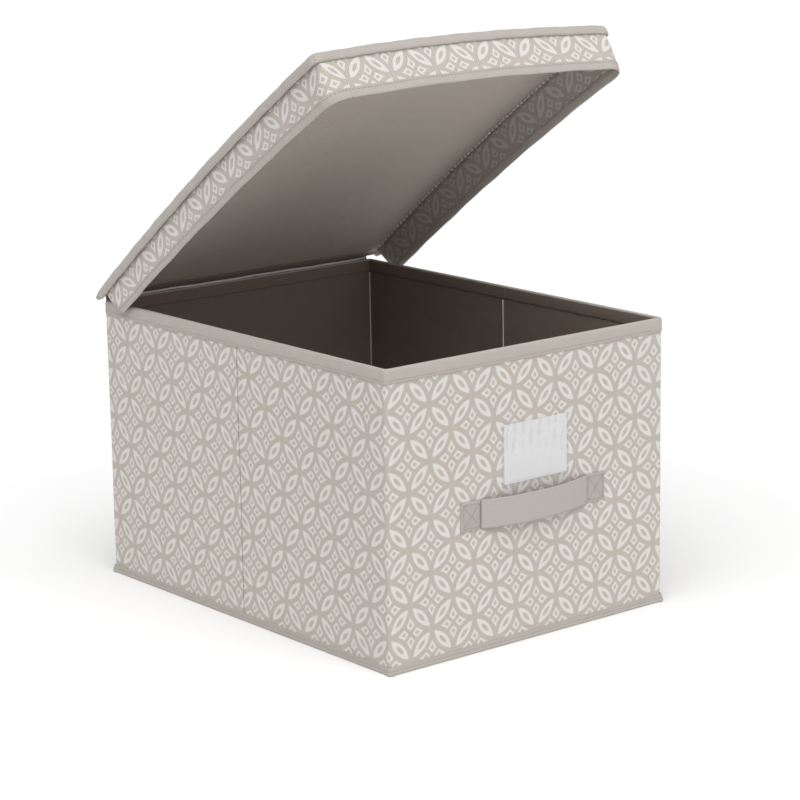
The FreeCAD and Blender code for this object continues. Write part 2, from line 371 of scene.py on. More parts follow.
MATERIALS = {
    "print": printed_cloth("printed_cloth"),
    # the print with painted shade down the side walls' creases
    "print_painted_crease_shade": printed_cloth("printed_cloth_painted_crease_shade", shade_creases=True),
    "print_back": printed_cloth("printed_cloth_reverse", contrast=0.75, dim=0.82),
    "plain": plain_cloth("plain_cloth", PLAIN),
    "lining": plain_cloth("lining_cloth", LINING, pitch=2.4, spread=0.09),
    # the lining darkened with painted shade, for surfaces deep in the box and under the lid's rear
    "lining_painted_shade": plain_cloth("lining_painted_shade_cloth", LINING_PAINTED_SHADE, pitch=2.4, spread=0.09),
    "webbing": woven_webbing("webbing_weave", WEBBING),
    "patch": plain_cloth("webbing_flat", shade(WEBBING, 0.93), pitch=2.0),
    "thread": spun_thread("seam_thread", THREAD),
    "pale": spun_thread("pale_seam_thread", PALE_THREAD),
    "board": board_paper("greyboard_pulp", (0.42, 0.38, 0.33)),
    "card": board_paper("label_card_paper", (0.73, 0.73, 0.73), clean=True),
    "film": clear_film("clear_vinyl_film"),
}


# -------------------- mesh building
def places(low, high, step, marks=()):
    """Places from low to high about step apart, with finer ones at marks: (centre, reach, step)."""
    found = list(np.linspace(low, high, max(2, round((high - low) / step) + 1)))
    for centre, reach, fine in marks:
        found = [x for x in found if abs(x - centre) > reach + fine / 2 or x in (low, high)]
        count = max(3, round(2 * reach / fine) + 1)
        found += [x for x in np.linspace(centre - reach, centre + reach, count) if low <= x <= high]
    found = sorted(set(np.round(found, 7)))
    return np.array([x for i, x in enumerate(found) if i == 0 or x - found[i - 1] > 2e-5])


def joined(*parts):
    """Arrays brought to one shape and joined along a new last axis, as points or UVs."""
    return np.stack(np.broadcast_arrays(*parts), -1)


def waves(x, *parts):
    """Sum of sine waves along x, each of a height in mm, a length in metres and a phase."""
    return sum(high * MM * np.sin(2 * math.pi * x / long + phase) for high, long, phase in parts)


def mesh_object(name, points, faces, uvs, materials):
    """An object from points, faces and a UV in metres for each point."""
    mesh = bpy.data.meshes.new(name)
    mesh.from_pydata(np.asarray(points, float).tolist(), [], faces)
    layer = mesh.uv_layers.new(name="cloth")
    corners = np.zeros(len(mesh.loops), np.int32)
    mesh.loops.foreach_get("vertex_index", corners)
    layer.data.foreach_set("uv", np.asarray(uvs, np.float32)[corners].ravel())
    mesh.polygons.foreach_set("use_smooth", [True] * len(mesh.polygons))
    for key in materials:
        mesh.materials.append(MATERIALS[key])
    mesh.update()
    piece = bpy.data.objects.new(name, mesh)
    bpy.context.scene.collection.objects.link(piece)
    return piece


def grid_faces(rows, columns, wrap=False, flip=False):
    """Faces of a grid of points, row by row; wrap joins each row's end to its start."""
    faces = []
    for i in range(rows - 1):
        for j in range(columns if wrap else columns - 1):
            k = (j + 1) % columns
            face = (i * columns + j, (i + 1) * columns + j, (i + 1) * columns + k, i * columns + k)
            faces.append(face[::-1] if flip else face)
    return faces


def cloth(name, points, uvs, thick, materials, flip=False, inner=0):
    """A sheet from a grid of points, rows by columns, given its thickness behind its face. inner is
    how many materials further on its back and edges are."""
    rows, columns = points.shape[:2]
    faces = grid_faces(rows, columns, flip=flip)
    piece = mesh_object(name, points.reshape(-1, 3), faces, uvs.reshape(-1, 2), materials)
    solid = piece.modifiers.new("thickness", "SOLIDIFY")
    solid.thickness = thick
    solid.offset = -1
    solid.use_even_offset = False
    solid.material_offset = inner
    solid.material_offset_rim = inner
    return piece


def sweep(name, rings, uvs, materials, flip=False):
    """A closed bar from rings of points, with its two ends capped."""
    rows, columns = rings.shape[:2]
    faces = grid_faces(rows, columns, wrap=True, flip=flip)
    first = tuple(range(columns))
    last = tuple(range((rows - 1) * columns, rows * columns))
    faces += [first[::-1] if flip else first, last if flip else last[::-1]]
    piece = mesh_object(name, rings.reshape(-1, 3), faces, uvs.reshape(-1, 2), materials)
    for cap in piece.data.polygons[-2:]:
        cap.use_smooth = False
    return piece


# a stitch has three rings of points: how far along it each is, and how fat
BEAD_ROUND = 6
BEAD_RINGS = ((0.12, 0.62), (0.5, 1.0), (0.88, 0.62))


def stitches(name, lines, long, thick, material):
    """Short rounded stitches. lines holds a (middle, direction, outwards) for each."""
    points, faces, uvs = [], [], []
    for middle, along, out in lines:
        middle, along, out = (np.asarray(x, float) for x in (middle, along, out))
        along = along / np.linalg.norm(along)
        side = np.cross(out, along)
        side = side / np.linalg.norm(side)
        out = np.cross(along, side)
        start = len(points)
        points.append(middle - along * long / 2)
        for share, fat in BEAD_RINGS:
            for turn in range(BEAD_ROUND):
                angle = 2 * math.pi * turn / BEAD_ROUND
                spread = side * math.cos(angle) + out * math.sin(angle)
                points.append(middle + along * long * (share - 0.5) + spread * fat * thick / 2)
        points.append(middle + along * long / 2)
        end = len(points) - 1
        uvs.append((0.0, 0.0))
        for share, fat in BEAD_RINGS:
            uvs += [(share * long, turn * thick / 2) for turn in range(BEAD_ROUND)]
        uvs.append((long, 0.0))
        for turn in range(BEAD_ROUND):
            after = (turn + 1) % BEAD_ROUND
            faces.append((start, start + 1 + after, start + 1 + turn))
            for ring in range(len(BEAD_RINGS) - 1):
                a = start + 1 + ring * BEAD_ROUND
                b = a + BEAD_ROUND
                faces.append((a + turn, a + after, b + after, b + turn))
            a = start + 1 + (len(BEAD_RINGS) - 1) * BEAD_ROUND
            faces.append((a + turn, a + after, end))
    return mesh_object(name, points, faces, uvs, [material])


def settle(piece, slot, body=None, blend=None, squash=None, replaces=()):
    """Attaches a piece to its body when it has one, and hides the CAD nodes it stands for. A piece
    given a blend only has its transform baked in, and a squashed one only gets a mesh of its own;
    slot is not used."""
    if blend:
        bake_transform(piece)
    if squash:
        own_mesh(piece)
    if body:
        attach(piece, body)
    if replaces:
        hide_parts(*replaces)
    return piece


# -------------------- the walls' outline
# each side's first corner, its direction and its outward normal
SIDES = (
    ((-1, -1), (1, 0), (0, -1)),
    ((1, -1), (0, 1), (1, 0)),
    ((1, 1), (-1, 0), (0, 1)),
    ((-1, 1), (0, -1), (-1, 0)),
)


def outline(u, half_x, half_y, radius):
    """Points and outward normals on a rectangle with rounded corners, at distances u along the
    sharp rectangle from its near left corner. radius may be an array like u."""
    u = np.asarray(u, float)
    radius = np.broadcast_to(radius, u.shape)
    lengths = np.array([2 * half_x, 2 * half_y] * 2)
    starts = np.concatenate([[0], np.cumsum(lengths)])
    total = starts[-1]
    u = np.mod(u, total)
    side = np.clip(np.searchsorted(starts, u, side="right") - 1, 0, 3)
    corner = np.array([(x * half_x, y * half_y) for (x, y), _, _ in SIDES])[side]
    along = np.array([a for _, a, _ in SIDES], float)[side]
    normal = np.array([n for _, _, n in SIDES], float)[side]
    s = u - starts[side]
    length = lengths[side]
    quarter = math.pi / 4
    angle = np.where(s < radius, (s / radius - 1) * quarter, 0.0)
    angle = np.where(s > length - radius, (1 - (length - s) / radius) * quarter, angle)
    turned = normal * np.cos(angle)[..., None] + along * np.sin(angle)[..., None]
    inset = np.clip(s, radius, length - radius)
    base = corner + along * inset[..., None] + (turned - normal) * radius[..., None]
    return base, turned


def on_walls(u, out, z):
    """Points out metres outside the walls' face."""
    u, out, z = np.broadcast_arrays(np.asarray(u, float), out, z)
    base, normal = outline(u, HALF_X, HALF_Y, CORNER_R)
    place = base + normal * out[..., None]
    return np.concatenate([place, z[..., None]], -1)


# waves of share, length along u, length along z and phase
RIPPLES = (
    (0.45, 0.113, 0.190, 0.3), (0.3, 0.061, -0.097, 1.7),
    (0.15, 0.037, 0.052, 4.1), (0.1, -0.021, 0.045, 2.2),
)


def ripple(u, z, seed):
    """Slow unevenness of cloth over board, from 0 to 1."""
    total = sum(
        share * np.sin(2 * math.pi * (u / long + z / tall) + phase + seed * 1.9)
        for share, long, tall, phase in RIPPLES
    )
    return 0.5 + 0.5 * total


def near(x, centre, reach):
    """1 at the centre, fading to 0 at about reach away."""
    return np.exp(-((x - centre) / reach) ** 2)


RIGHT_U = WIDE
BACK_U = WIDE + LONG
LEFT_BACK_U = BACK_U + WIDE
CORNERS_U = (0.0, RIGHT_U, BACK_U, LEFT_BACK_U, -LONG)
FOLD_IN = HALF_Y - FOLD_Y - FOLD_HALF

# name, body, from u, to u, and for a piece that bends at a fold: the other body, and the x and y
# where the fold starts
WALLS = (
    ("front", "front_and_base", -FOLD_IN, RIGHT_U + FOLD_IN, None),
    ("left_front", "left_front_panel", -HALF_Y + FOLD_HALF, -FOLD_IN,
     ("front_and_base", (-HALF_X, -FOLD_Y - FOLD_HALF))),
    ("left_rear", "left_rear_panel", -LONG + FOLD_IN + 2 * FOLD_HALF, -HALF_Y + FOLD_HALF,
     ("left_front_panel", (-HALF_X, -FOLD_HALF))),
    ("back", "back_wall", BACK_U - FOLD_IN, LEFT_BACK_U + FOLD_IN + 2 * FOLD_HALF,
     ("left_rear_panel", (-HALF_X, FOLD_Y - FOLD_HALF))),
    ("right_front", "right_front_panel", RIGHT_U + FOLD_IN, RIGHT_U + HALF_Y - FOLD_HALF,
     ("front_and_base", (HALF_X, -FOLD_Y - FOLD_HALF))),
    ("right_rear", "right_rear_panel", RIGHT_U + HALF_Y - FOLD_HALF, BACK_U - FOLD_IN,
     ("right_front_panel", (HALF_X, -FOLD_HALF))),
)
# how far a fold's end lies to one side of its start
FOLD_LEAN = 0.05 * MM


def fold_of(body, bend):
    """What settle() is given for a wall's piece: its body, or for a piece across a fold, the two
    bodies and the fold's two ends.
    """
    if bend is None:
        return {"body": body}
    other, (x, y) = bend
    start = (x, y, 0)
    end = (x + FOLD_LEAN, y + 2 * FOLD_HALF, 0)
    return {"blend": (other, body, start, end)}


def wall_places(low, high):
    """Places along a wall, finer at its corners, creases and folds."""
    marks = [(corner, 5 * MM, 0.8 * MM) for corner in CORNERS_U]
    marks += [(crease, 3 * MM, 0.5 * MM) for crease in CREASES_U]
    for corner in CORNERS_U:
        marks += [(corner + side * (HALF_Y - FOLD_Y), 2 * MM, 0.5 * MM) for side in (-1, 1)]
    return places(low, high, 6 * MM, [m for m in marks if low - m[1] <= m[0] <= high + m[1]])


def crease_dip(u):
    """How deep the outside of a side wall is drawn in at its crease."""
    return sum(near(u, c, 0.9 * MM) for c in CREASES_U)


def sewn_flat(u, z):
    """0 where the label and the handle are sewn to the front and where the card slides, else 1."""
    low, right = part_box("handle_end_left")[0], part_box("handle_end_right")[1].x
    top = pocket_high.z + CARD_TRAVEL
    margin = 8 * MM
    dx = np.maximum(np.maximum(low.x + HALF_X - u, u - right - HALF_X), 0) / margin
    dz = np.maximum(np.maximum(low.z - z, z - top), 0) / margin
    return 1 - np.exp(-(dx**2 + dz**2)) * (u > 0) * (u < WIDE)


def outer_skin(name, body, low, high, bend):
    """The printed fabric of one wall, drawn tight over its board, with painted shade at the side
    walls' creases.
    """
    u = wall_places(low, high)[:, None]
    z = places(WALL_FOOT, WALL_TOP, 7 * MM, [(WALL_FOOT + 3 * MM, 3 * MM, 1 * MM)])[None, :]
    fade = np.clip((WALL_TOP - 6 * MM - z) / (20 * MM), 0, 1)
    out = 0.5 * MM * ripple(u, z, 0) * fade * sewn_flat(u, z) - 0.9 * MM * crease_dip(u)
    points = on_walls(u, out, z)
    piece = cloth(name + "_fabric_cloth", points, joined(u, z), FABRIC, ["print_painted_crease_shade"])
    settle(piece, "printed_fabric", **fold_of(body, bend), replaces=[name + "_fabric"])
    flat = (high - low, WALL_TOP - WALL_FOOT)
    name + "_board"


def inner_skin(name, body, low, high, bend):
    """The plain lining of one wall, darkened with painted shade."""
    u = wall_places(low, high)[:, None]
    z = places(WALL_FOOT, WALL_TOP, 7 * MM)[None, :]
    points = on_walls(u, -WALL - 0.45 * MM * ripple(u * 1.1, z, 2), z)
    piece = cloth(name + "_lining_cloth", points, joined(u, z), LINING_CLOTH, ["lining_painted_shade"],
                  flip=True)
    settle(piece, "lining_fabric", **fold_of(body, bend), replaces=[name + "_lining"])
    flat = (high - low, WALL_TOP - WALL_FOOT)
    name + "_board"


RIM_PROUD = 0.8 * MM
RIM_R = (WALL + 2 * RIM_PROUD) / 2
RIM_INSIDE = RIM_PROUD - 2 * RIM_R
RIM_CREST = RIM_TOP + 0.4 * MM
RIM_SEAM = RIM_LOW + 2.6 * MM


def rim_profile():
    """Out and z of the rim binding: up the outside, over the wall and down the inside."""
    shape = [
        (0.35 * MM, RIM_LOW - 0.2 * MM), (RIM_PROUD - 0.1 * MM, RIM_LOW),
        (RIM_PROUD, RIM_LOW + 1 * MM), (RIM_PROUD + 0.1 * MM, RIM_LOW + 4 * MM),
        (RIM_PROUD + 0.05 * MM, RIM_LOW + 7 * MM),
    ]
    for angle in np.linspace(0, math.pi, 9):
        out = RIM_PROUD - RIM_R + RIM_R * math.cos(angle)
        shape.append((out, RIM_CREST - RIM_R + RIM_R * math.sin(angle)))
    shape += [
        (RIM_INSIDE, RIM_LOW + 5 * MM), (RIM_INSIDE, RIM_LOW + 1 * MM),
        (RIM_INSIDE + 0.5 * MM, RIM_LOW),
    ]
    return np.array(shape)


def run_length(shape):
    """Distance along a line of points, at each of them."""
    return np.concatenate([[0], np.cumsum(np.linalg.norm(np.diff(shape, axis=0), axis=1))])


def rim_binding(name, body, low, high, bend):
    """Binding folded over the rim of one wall, with its lines of stitches."""
    u = wall_places(low, high)[:, None]
    shape = rim_profile()
    out, z = shape[None, :, 0], shape[None, :, 1]
    edge = np.clip((RIM_LOW + 3 * MM - z) / (3 * MM), 0, 1)
    sway = waves(u, (0.25, 0.041, 0), (0.15, 0.0173, 0)) * edge
    soft = waves(u, (0.12, 0.027, 1)) * np.sign(out + WALL / 2)
    points = on_walls(u, out + soft - 0.35 * MM * crease_dip(u), z + sway)
    uvs = joined(u, run_length(shape)[None, :])
    piece = cloth(name + "_rim_binding_cloth", points, uvs, 0.45 * MM, ["plain", "lining_painted_shade"])
    # faces past the crest, down the inside, take the lining darkened with painted shade
    columns, crest = len(shape) - 1, int(np.argmax(shape[:, 1])) + 3
    for polygon in piece.data.polygons:
        polygon.material_index = int(polygon.index % columns >= crest)
    settle(piece, "plain_binding", **fold_of(body, bend), replaces=[name + "_rim_binding"])
    lines = []
    for place in np.arange(low + 3.2 * MM, high - 1 * MM, 3.3 * MM):
        normal = outline(np.array([place]), HALF_X, HALF_Y, CORNER_R)[1][0]
        for out, facing in ((RIM_PROUD + 0.12 * MM, 1), (RIM_INSIDE - 0.1 * MM, -1)):
            here, there = on_walls(np.array([place, place + 0.5 * MM]), out, RIM_SEAM)
            lines.append((here, there - here, (*(normal * facing), 0)))
    seam = stitches(name + "_rim_stitches", lines, 2.2 * MM, 0.42 * MM, "thread")
    settle(seam, "thread", **fold_of(body, bend))


for wall in WALLS:
    outer_skin(*wall)
    inner_skin(*wall)
    rim_binding(*wall)


# -------------------- seams of the lining
ROUND_TURN = np.linspace(0, 2 * math.pi, 8, endpoint=False)[None, :]


def lining_seams():
    """Narrow pale ridges where the lining is sewn at the corners and the creases."""
    inside = WALL + 0.7 * MM
    reach = 0.55 * MM
    # name, body, side across and side along, which is 0 at a crease
    seams = (
        ("near_left", "front_and_base", -1, -1), ("near_right", "front_and_base", 1, -1),
        ("far_left", "back_wall", -1, 1), ("far_right", "back_wall", 1, 1),
        ("left_crease", "left_rear_panel", -1, 0), ("right_crease", "right_rear_panel", 1, 0),
    )
    z = places(8 * MM, RIM_LOW - 0.5 * MM, 6 * MM)[:, None]
    wander = 0.25 * MM * np.sin(z / 0.031) + 0.15 * MM * np.sin(z / 0.0093)
    for name, body, across, along in seams:
        x = across * (HALF_X - inside) + reach * np.cos(ROUND_TURN)
        y = (along * (HALF_Y - inside) if along else 2.4 * MM + wander) + reach * np.sin(ROUND_TURN)
        uvs = joined(z, ROUND_TURN * reach)
        piece = sweep("lining_seam_" + name, joined(x, y, z), uvs, ["pale"])
        settle(piece, "lining_fabric", body=body)


def hinge_seam():
    """Pale folded edge of the hinge's seam, between the back rim and the strip."""
    reach = HALF_X - 6 * MM
    x = places(-reach, reach, 6 * MM)[:, None]
    wander = 0.2 * MM * np.sin(x / 0.019) + 0.15 * MM * np.sin(x / 0.007)
    y = HALF_Y - 0.1 * MM + 0.75 * MM * np.cos(ROUND_TURN)
    z = HINGE.z + 0.3 * MM + wander + 0.9 * MM * np.sin(ROUND_TURN)
    uvs = joined(x, ROUND_TURN * 0.6 * MM)
    piece = sweep("lid_hinge_inner_seam", joined(x, y, z), uvs, ["pale"])
    settle(piece, "plain_binding", body="back_wall")


lining_seams()
hinge_seam()


# -------------------- bottom
FOLDED = {"joint": "side_fold", "axis": (0, 1, 0), "anchor": (0, -HALF_Y, 0), "keep": 0.19}


# out and up of the tape over the seam of the bottom
TAPE_PROFILE = np.array([
    (0.2, 7.4), (0.75, 7.3), (1.0, 6.8), (0.65, 6.3), (1.05, 5.7), (1.1, 4.3), (0.6, 3.8),
    (1.15, 3.3), (1.1, 1.4), (0.8, 0.35), (0.2, 0.05),
]) * MM


def bottom_tapes():
    """Tape over the seam of the bottom, mitred and pinched out a little at the corners."""
    parts = (
        ("front", 0, RIGHT_U, None), ("right", RIGHT_U, BACK_U, FOLDED),
        ("back", BACK_U, LEFT_BACK_U, FOLDED), ("left", -LONG, 0, FOLDED),
    )
    profile_out, profile_z = TAPE_PROFILE[None, :, 0], TAPE_PROFILE[None, :, 1]
    for name, low, high, squash in parts:
        u = places(low, high, 6 * MM, [(end, 8 * MM, 0.8 * MM) for end in (low, high)])[:, None]
        pinch = sum(near(u, end, 3.2 * MM) for end in (low, high))
        out = profile_out + 2.4 * MM * pinch * np.clip(1.3 - profile_z / (7.5 * MM), 0, 1)
        z = profile_z + waves(u, (0.2, 0.033, 0), (0.12, 0.0121, 0)) * (profile_z > 5 * MM)
        points = on_walls(u, out, z)
        uvs = joined(u, run_length(TAPE_PROFILE)[None, :])
        piece = cloth("base_tape_%s_cloth" % name, points, uvs, FABRIC, ["plain"], flip=True)
        settle(piece, "plain_binding", body="front_and_base", squash=squash,
               replaces=["base_tape_" + name])


def base_sheet():
    """Bottom fabric."""
    x = places(-HALF_X + 0.3 * MM, HALF_X - 0.3 * MM, 12 * MM)[:, None]
    y = places(-HALF_Y + 0.3 * MM, HALF_Y - 0.3 * MM, 12 * MM)[None, :]
    z = 0.6 * MM + 0.15 * MM * ripple(x, y, 4)
    piece = cloth("base_fabric_cloth", joined(x, y, z), joined(x, y), FABRIC, ["plain"])
    settle(piece, "plain_binding", body="front_and_base", squash=FOLDED, replaces=["base_fabric"])


def board_places(low, high):
    """Places along the loose board, finer at its soft edges."""
    return places(low, high, 9 * MM, [(end, 3 * MM, 0.5 * MM) for end in (low, high)])


def base_board():
    """Cover of the loose bottom board: fabric drawn over its top and round its soft edges, in the
    lining darkened with painted shade.
    """
    low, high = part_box("base_board_cover")
    edge = 2.2 * MM
    x = board_places(low.x, high.x)[:, None]
    y = board_places(low.y, high.y)[None, :]
    dx = np.clip(edge - np.minimum(x - low.x, high.x - x), 0, edge)
    dy = np.clip(edge - np.minimum(y - low.y, high.y - y), 0, edge)
    fall = edge - np.sqrt(np.clip(edge**2 - np.minimum(dx**2 + dy**2, edge**2), 0, None))
    z = high.z - 0.1 * MM - fall * 1.3 + 0.35 * MM * ripple(x * 0.8, y * 0.8, 6)
    points = joined(x, y, z)
    piece = cloth("base_board_cover_cloth", points, joined(x, y), LINING_CLOTH, ["lining_painted_shade"])
    settle(piece, "lining_fabric", body="base_board", replaces=["base_board_cover"])


bottom_tapes()
base_sheet()
base_board()


# -------------------- lid
def lid_place(x, y, n):
    """Row place of points of the closed lid, with n above the hinge line before the lid's bow."""
    x, y, n = np.broadcast_arrays(x, y, n)
    forwards = HINGE.y - y
    share = np.clip(forwards / LID_LONG, 0, 1)
    n = n + 4 * LID_BOW * share * (1 - share) + LID_ARCH * (1 - (x / LID_HALF) ** 2) * share**2
    cos, sin = math.cos(LID_OPEN), math.sin(LID_OPEN)
    return np.stack([x, HINGE.y - forwards * cos + n * sin, HINGE.z + forwards * sin + n * cos], -1)


# the lid's panel inside its bindings
LID_X = 156.5 * MM
LID_FRONT = HINGE.y - 403.5 * MM
LID_REAR = HINGE.y - 5 * MM


def lid_panel():
    """Top fabric, board and lining of the lid, all with the lid's bow and arch."""
    x = places(-LID_X, LID_X, 9 * MM)[:, None]
    y = places(LID_FRONT, LID_REAR, 9 * MM)[None, :]
    uvs = joined(x + HALF_X, -y)
    edge = np.minimum(np.minimum(LID_X - abs(x), y - LID_FRONT), LID_REAR - y)
    puff = 1 - np.exp(-np.clip(edge, 0, None) / (9 * MM))
    top = lid_place(x, y, 3.5 * MM + 0.9 * MM * puff * ripple(x, y, 1))
    piece = cloth("lid_fabric_cloth", top, uvs, FABRIC, ["print"])
    settle(piece, "printed_fabric", body="lid", replaces=["lid_fabric"])
    board = cloth("lid_board_bowed", lid_place(x, y, 3.1 * MM), uvs, 1.6 * MM, ["board"])
    settle(board, "greyboard", body="lid", replaces=["lid_board"])
    under = lid_place(x, y, 0.9 * MM - 0.5 * MM * puff * ripple(x * 1.2, y, 3))
    piece = cloth("lid_lining_cloth", under, uvs, LINING_CLOTH, ["lining"], flip=True)
    settle(piece, "lining_fabric", body="lid", replaces=["lid_lining"])


# sections of the lid's bindings: out and up from EDGE_X and EDGE_Y, and behind them forwards and up
EDGE_LOOP = np.array([
    (-0.9, 1.0), (-2.0, 3.4), (-2.4, 4.1), (-1.6, 4.7), (0.4, 5.5), (2.2, 5.7), (3.5, 5.0),
    (4.3, 3.6), (4.6, 1.6), (4.6, -0.5), (4.3, -2.4), (3.6, -3.2), (2.4, -3.1), (1.7, -1.4),
    (1.1, 0.3), (-0.9, 0.5),
]) * MM
REAR_LOOP = np.array([
    (3.2, 0.8), (3.0, 2.4), (3.4, 4.2), (5.0, 5.0), (7.6, 4.8), (9.0, 4.2), (9.0, 1.0),
    (7.6, 0.3), (5.0, 0.1),
]) * MM
EDGE_X = 156.8 * MM
EDGE_Y = 201 * MM


def lid_edge():
    """Binding round the edge of the lid, a thick tape folded over the seam, standing out past the
    skirt below it."""
    wide, back = 2 * EDGE_X, HINGE.y - 3 * MM + EDGE_Y
    seam = 1.4 * MM
    girth = run_length(EDGE_LOOP)[None, :]
    for name, low, high in (("left", -back, 0), ("front", 0, wide), ("right", wide, wide + back)):
        s = places(low, high, 5 * MM, [(corner, 5 * MM, 0.7 * MM) for corner in (0, wide)])[:, None]
        base, normal = outline(s, EDGE_X, EDGE_Y, 3 * MM)
        wave = waves(s, (0.25, 0.047, 0), (0.18, 0.0213, 1))
        slim = np.clip(np.minimum(s + back, wide + back - s) / (4 * MM), 0.55, 1)
        out = EDGE_LOOP[None, :, 0] * (1 + wave / (9 * MM))
        n = (EDGE_LOOP[None, :, 1] - seam) * slim + seam + wave * 0.6
        x = base[..., 0] + normal[..., 0] * out
        y = base[..., 1] + normal[..., 1] * out
        piece = sweep("lid_edge_%s_binding" % name, lid_place(x, y, n), joined(s, girth), ["plain"])
        settle(piece, "plain_binding", body="lid", replaces=["lid_edge_" + name])
    x = places(-EDGE_X, EDGE_X, 8 * MM)[:, None]
    y = HINGE.y - REAR_LOOP[None, :, 0]
    n = REAR_LOOP[None, :, 1] + waves(x, (0.15, 0.039, 0))
    uvs = joined(x, run_length(REAR_LOOP)[None, :])
    # the rear binding takes the lining darkened with painted shade
    piece = sweep("lid_edge_rear_binding", lid_place(x, y, n), uvs, ["lining_painted_shade"], flip=True)
    settle(piece, "plain_binding", body="lid", replaces=["lid_edge_rear"])


SKIRT_X = 156.3 * MM
SKIRT_Y = 202.7 * MM
SKIRT_BACK = HINGE.y - 12 * MM + SKIRT_Y
SKIRT_WIDE = 2 * SKIRT_X
SKIRT_DEEP_REAR, SKIRT_DEEP_FRONT = 31 * MM, 40 * MM
SKIRT_TOP = 0.9 * MM
SKIRT_PRINT_V = 220 * MM
HEM_SHARE = 1 - 9 * MM / SKIRT_DEEP_FRONT
# out in mm and share of the drop, round the hem
HEM_PROFILE = np.array([
    (0.35, HEM_SHARE - 0.004), (0.85, HEM_SHARE), (0.95, HEM_SHARE + 0.1), (0.9, 0.93), (0.6, 0.985),
    (0.0, 1.0), (-0.5, 0.985), (-0.8, 0.93), (-0.85, HEM_SHARE + 0.1), (-0.75, HEM_SHARE),
    (-0.4, HEM_SHARE - 0.004),
])


def skirt_shape(s, drop_share, out):
    """Points of the skirt at a share of its drop, out from its middle. The lower front corners are
    cut round, the free rear ends slant, and the whole flares a little."""
    s, drop_share, out = np.broadcast_arrays(np.asarray(s, float), drop_share, out)
    rear = np.maximum(np.maximum(-s, s - SKIRT_WIDE), 0) / SKIRT_BACK
    drop = (SKIRT_DEEP_FRONT + (SKIRT_DEEP_REAR - SKIRT_DEEP_FRONT) * rear) * drop_share
    slant = (0.35 * drop + 5 * MM * np.clip((drop_share - 0.7) / 0.3, 0, 1) ** 2) * rear**6
    slid = np.where(s < 0, s + slant, np.where(s > SKIRT_WIDE, s - slant, s))
    radius = 2.5 * MM + 19 * MM * drop_share**1.6
    base, normal = outline(slid, SKIRT_X, SKIRT_Y, radius)
    corner = near(s, 0, 16 * MM) + near(s, SKIRT_WIDE, 16 * MM)
    ripples = waves(s, (0.45, 0.083, 0.7), (0.27, 0.037, 2))
    flare = (2.1 * MM + 3.5 * MM * corner + ripples) * drop_share**1.2 + out
    x = base[..., 0] + normal[..., 0] * flare
    y = base[..., 1] + normal[..., 1] * flare
    return x, y, SKIRT_TOP - drop


def lid_skirt():
    """Fabric skirt round three sides of the lid, its bound hem and their stitches."""
    marks = [(corner, 18 * MM, 1.5 * MM) for corner in (0, SKIRT_WIDE)]
    s = places(-SKIRT_BACK, SKIRT_WIDE + SKIRT_BACK, 6 * MM, marks)[:, None]
    x, y, n = skirt_shape(s, np.linspace(0, 0.985, 11)[None, :], 0.35 * MM)
    uvs = joined(s, n + SKIRT_PRINT_V)
    skirt = cloth("lid_skirt_cloth", lid_place(x, y, n), uvs, 0.6 * MM, ["print", "print_back"],
                  flip=True, inner=1)
    sides = ["front", "left", "right"]
    settle(skirt, "printed_fabric", body="lid", replaces=["lid_skirt_" + side for side in sides])
    wave = 0.008 * np.sin(2 * math.pi * s / 0.051) + 0.005 * np.sin(2 * math.pi * s / 0.0191)
    out, share = HEM_PROFILE[None, :, 0] * MM, HEM_PROFILE[None, :, 1]
    x, y, n = skirt_shape(s, share + wave * (share < 0.9), out)
    uvs = joined(s, run_length(HEM_PROFILE * (MM, SKIRT_DEEP_FRONT))[None, :])
    hem = cloth("lid_hem_binding", lid_place(x, y, n), uvs, 0.35 * MM, ["plain"], flip=True)
    settle(hem, "plain_binding", body="lid", replaces=["lid_hem_" + side for side in sides])
    spots = np.arange(-SKIRT_BACK + 4 * MM, SKIRT_WIDE + SKIRT_BACK - 3 * MM, 3.4 * MM)
    seam_share = HEM_SHARE + 0.05
    lines = []
    for out in (1.05 * MM, -0.9 * MM):
        here = lid_place(*skirt_shape(spots, seam_share, out))
        there = lid_place(*skirt_shape(spots + 0.5 * MM, seam_share, out))
        further = lid_place(*skirt_shape(spots, seam_share, out * 3))
        lines += zip(here, there - here, further - here)
    seam = stitches("lid_hem_stitches", lines, 2.2 * MM, 0.4 * MM, "thread")
    settle(seam, "thread", body="lid")


def lid_inner_seam():
    """Pale overlocked edge where the skirt meets the lining, seen from below."""
    spots = np.arange(-SKIRT_BACK + 2 * MM, SKIRT_WIDE + SKIRT_BACK - 2 * MM, 3 * MM)
    lean = 1.0 * MM * np.where(np.arange(len(spots)) % 2, 1, -1)
    inwards, share, step = 3.2 * MM, 0.016, 0.7 * MM
    here = lid_place(*skirt_shape(spots - step, share, lean - inwards))
    there = lid_place(*skirt_shape(spots + step, share, -lean - inwards))
    down = (0, -math.sin(LID_OPEN), -math.cos(LID_OPEN))
    lines = [(a, b - a, down) for a, b in zip(here, there)]
    seam = stitches("lid_inner_overlock", lines, 3.8 * MM, 1.25 * MM, "pale")
    settle(seam, "thread", body="lid")


